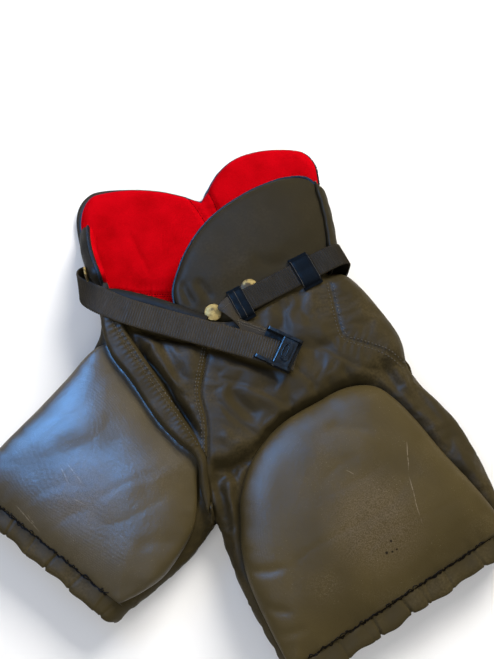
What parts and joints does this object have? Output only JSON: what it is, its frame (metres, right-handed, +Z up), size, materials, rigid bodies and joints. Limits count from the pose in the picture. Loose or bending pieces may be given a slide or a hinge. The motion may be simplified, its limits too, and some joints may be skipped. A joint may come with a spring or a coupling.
{
  "type": "youth ice hockey pants",
  "caption": "Padded ice hockey pants lying on their back: black nylon shell, thigh pads, red-lined kidney and hip pads, gathered hems and a belt with a cam buckle.",
  "frame": {"origin": "centre of the outline on the floor that the pants lie on", "axes": "+Z up out of the floor, +Y from the legs to the waist, +X the wearer's left"},
  "size_m": [0.5042, 0.5199, 0.073],
  "materials": {
    "shell_nylon": "black woven nylon with a faint olive cast",
    "pad_cloth": "black coated nylon, smooth, scuffed",
    "red_liner": "red brushed mesh",
    "foam": "closed-cell foam",
    "guard_plastic": "moulded polyethylene",
    "webbing": "black ribbed polyester webbing",
    "elastic": "knitted elastic",
    "buckle_plastic": "black acetal, semi-gloss",
    "hook_and_loop": "black hook tape, fuzzy",
    "button_brass": "worn brass plate",
    "steel": "plain"
  },
  "bodies": {
    "torso": {"back_cover": "shell_nylon", "back_liner": "red_liner", "belt_left": "webbing", "belt_loop_narrow": "webbing", "belt_loop_wide": "webbing", "belt_loops_back": "webbing", "belt_right": "webbing", "buckle_frame": "buckle_plastic", "buckle_pin": "steel", "button_tacks": "steel", "crotch_gusset": "shell_nylon", "fly_gusset": "shell_nylon", "fly_patch": "hook_and_loop", "front_panel_left": "shell_nylon", "front_panel_right": "shell_nylon", "hip_cover_left": "shell_nylon", "hip_cover_right": "shell_nylon", "hip_foam_left": "foam", "hip_foam_right": "foam", "hip_liner_left": "red_liner", "hip_liner_right": "red_liner", "hip_plate_left": "guard_plastic", "hip_plate_right": "guard_plastic", "kidney_foam_left": "foam", "kidney_foam_right": "foam", "kidney_plate_left": "guard_plastic", "kidney_plate_right": "guard_plastic", "seat_foam": "foam", "seat_panel": "shell_nylon", "side_panel_left": "shell_nylon", "side_panel_right": "shell_nylon", "side_wrap_left": "shell_nylon", "spine_foam": "foam", "tailbone_foam": "foam", "tailbone_plate": "guard_plastic"},
    "leg_left": {"hem_cuff_left": "shell_nylon", "hem_elastic_left": "elastic", "leg_back_left": "shell_nylon", "leg_front_left": "shell_nylon", "leg_inseam_left": "shell_nylon", "leg_outseam_left": "shell_nylon", "thigh_foam_left": "foam", "thigh_guard_left": "guard_plastic", "thigh_pocket_left": "pad_cloth"},
    "leg_right": {"hem_cuff_right": "shell_nylon", "hem_elastic_right": "elastic", "leg_back_right": "shell_nylon", "leg_front_right": "shell_nylon", "leg_inseam_right": "shell_nylon", "leg_outseam_right": "shell_nylon", "thigh_foam_right": "foam", "thigh_guard_right": "guard_plastic", "thigh_pocket_right": "pad_cloth"},
    "buckle_lever": {"buckle_lever": "buckle_plastic"},
    "button_cap_left_1": {"button_cap_left_1": "button_brass"},
    "button_cap_left_2": {"button_cap_left_2": "button_brass"},
    "button_cap_right_1": {"button_cap_right_1": "button_brass"},
    "button_cap_right_2": {"button_cap_right_2": "button_brass"}
  },
  "joints": [
    {"name": "hip_fold_left", "type": "hinge", "parent": "torso", "child": "leg_left", "pos_m": [-0.0251, -0.0741, 0.058], "axis": [-0.8403, -0.5421, 0], "range_deg": [0, 45]},
    {"name": "hip_fold_right", "type": "hinge", "parent": "torso", "child": "leg_right", "pos_m": [-0.0251, -0.0741, 0.058], "axis": [-0.6606, 0.7507, 0], "range_deg": [0, 45]},
    {"name": "buckle_lever_hinge", "type": "hinge", "parent": "torso", "child": "buckle_lever", "pos_m": [0.04126, 0.03327, 0.068], "axis": [-0.4226, -0.9063, 0], "range_deg": [0, 80]},
    {"name": "button_turn_left_1", "type": "hinge", "parent": "torso", "child": "button_cap_left_1", "pos_m": [-0.0211, 0.0724, 0.058], "axis": [0, 0, 1], "continuous": true},
    {"name": "button_turn_left_2", "type": "hinge", "parent": "torso", "child": "button_cap_left_2", "pos_m": [0.0129, 0.0974, 0.058], "axis": [0, 0, 1], "continuous": true},
    {"name": "button_turn_right_1", "type": "hinge", "parent": "torso", "child": "button_cap_right_1", "pos_m": [-0.14302, 0.10932, 0.059], "axis": [-0.9624, -0.2715, 0], "continuous": true},
    {"name": "button_turn_right_2", "type": "hinge", "parent": "torso", "child": "button_cap_right_2", "pos_m": [-0.14302, 0.10932, 0.026], "axis": [-0.9624, -0.2715, 0], "continuous": true}
  ]
}
